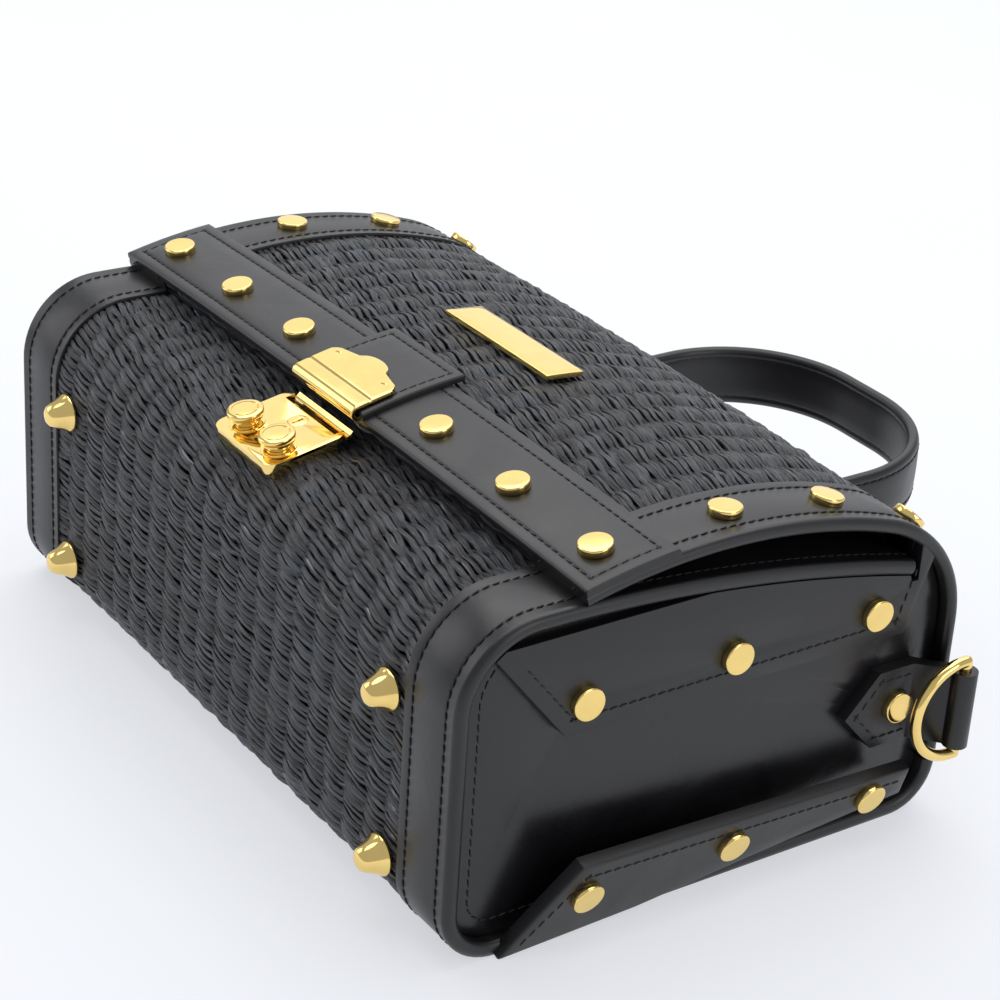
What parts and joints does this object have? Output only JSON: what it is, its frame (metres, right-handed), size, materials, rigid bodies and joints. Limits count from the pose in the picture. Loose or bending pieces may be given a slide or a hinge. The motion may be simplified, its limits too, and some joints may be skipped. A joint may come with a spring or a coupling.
{
  "type": "box bag",
  "caption": "Rigid woven box bag with leather bindings, hinged lid, press lock, riveted strap, single loop handle and side rings.",
  "frame": {"origin": "centre of the bag's footprint on the ground while it lies on its back", "axes": "+X across the bag along its longest side, +Y from the bag's bottom towards its top and handle, +Z out of the bag's front, up from the ground"},
  "size_m": [0.2738, 0.2496, 0.1121],
  "materials": {
    "wicker": "black varnished woven rush",
    "leather": "smooth black grained",
    "lining": "black twill",
    "gold": "polished gold plate",
    "steel": "zinc plated"
  },
  "bodies": {
    "basket": {"wicker_body": "wicker", "body_lining": "lining", "front_rim_binding": "leather", "back_hinge_strip": "leather", "body_binding_left": "leather", "body_binding_right": "leather", "end_panel_left": "leather", "end_panel_right": "leather", "front_tab_left": "leather", "front_tab_right": "leather", "back_tab_left": "leather", "back_tab_right": "leather", "d_ring_tab_left": "leather", "d_ring_tab_right": "leather", "front_tab_rivets": "gold", "back_tab_rivets": "gold", "d_ring_tab_rivets": "gold", "foot_studs": "gold", "foot_washers": "steel", "lock_case": "gold", "lock_back_plate": "steel", "lock_screws": "steel", "button_spring_left": "steel", "button_spring_right": "steel"},
    "lid": {"wicker_lid": "wicker", "lid_lining": "lining", "lid_hinge_strip": "leather", "lid_binding_left": "leather", "lid_binding_right": "leather", "front_strap": "leather", "lock_tab": "leather", "name_plate": "gold", "hasp_plate": "gold", "strap_rivets": "gold", "lid_rivets_left": "gold", "lid_rivets_right": "gold", "handle": "leather", "handle_rivets": "gold"},
    "button_left": {"lock_button_left": "gold"},
    "button_right": {"lock_button_right": "gold"},
    "key": {"key_barrel": "gold"},
    "ring_left": {"d_ring_left": "gold"},
    "ring_right": {"d_ring_right": "gold"}
  },
  "joints": [
    {"name": "lid_hinge", "type": "hinge", "parent": "basket", "child": "lid", "pos_m": [0, 0.05215, 0.015], "axis": [-1, 0, 0], "range_deg": [0, 105]},
    {"name": "button_left_press", "type": "slide", "parent": "basket", "child": "button_left", "axis": [0, 0.1874, -0.9823], "range_m": [0, 0.0015], "stiffness_N_per_m": 300, "springref_m": -0.001, "deforming": ["button_spring_left"]},
    {"name": "button_right_press", "type": "slide", "parent": "basket", "child": "button_right", "axis": [0, 0.1874, -0.9823], "range_m": [0, 0.0015], "stiffness_N_per_m": 300, "springref_m": -0.001, "deforming": ["button_spring_right"]},
    {"name": "key_turn", "type": "hinge", "parent": "basket", "child": "key", "pos_m": [0, -0.09055, 0.09593], "axis": [0, -0.1874, 0.9823], "range_deg": [0, 90]},
    {"name": "d_ring_left_swing", "type": "hinge", "parent": "basket", "child": "ring_left", "pos_m": [-0.1332, 0.04725, 0.038], "axis": [0, 0, -1], "range_deg": [0, 170]},
    {"name": "d_ring_right_swing", "type": "hinge", "parent": "basket", "child": "ring_right", "pos_m": [0.1332, 0.04725, 0.038], "axis": [0, 0, 1], "range_deg": [0, 170]}
  ]
}
